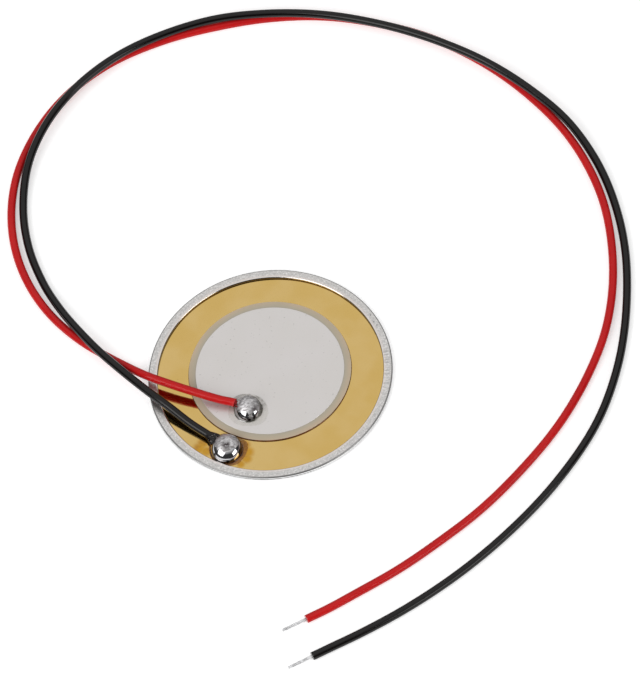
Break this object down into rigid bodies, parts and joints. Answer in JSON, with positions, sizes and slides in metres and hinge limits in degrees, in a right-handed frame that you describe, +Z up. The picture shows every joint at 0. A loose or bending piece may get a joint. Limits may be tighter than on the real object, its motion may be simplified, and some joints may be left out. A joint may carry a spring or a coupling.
{
  "type": "piezo disc",
  "caption": "Piezo disc: silvered ceramic wafer on a brass diaphragm in a metal carrier ring, with a red and a black soldered lead.",
  "frame": {"origin": "centre of the carrier ring's underside", "axes": "+Z up out of the ceramic's face; the leads' free ends lie towards -Y and their loop towards +Y; +X to the right"},
  "size_m": [0.0946, 0.1191, 0.0031],
  "materials": {
    "ring_metal": "satin silver, fine stipple",
    "brass": "near mirror, slightly hazed",
    "epoxy": "glossy, dark amber",
    "piezo_ceramic": "matt, fine grain",
    "fired_silver": "satin, faint mottle",
    "solder": "bright, frosted in places",
    "red_insulation": "soft gloss",
    "black_insulation": "soft gloss",
    "tinned_strand": "dull tinned"
  },
  "bodies": {
    "root": {"carrier_ring": "ring_metal", "brass_plate": "brass", "bond_film": "epoxy", "ceramic_disc": "piezo_ceramic", "silver_electrode": "fired_silver", "red_solder_joint": "solder", "black_solder_joint": "solder", "red_lead": "red_insulation", "black_lead": "black_insulation", "red_lead_tip": "tinned_strand", "black_lead_tip": "tinned_strand"}
  },
  "joints": []
}
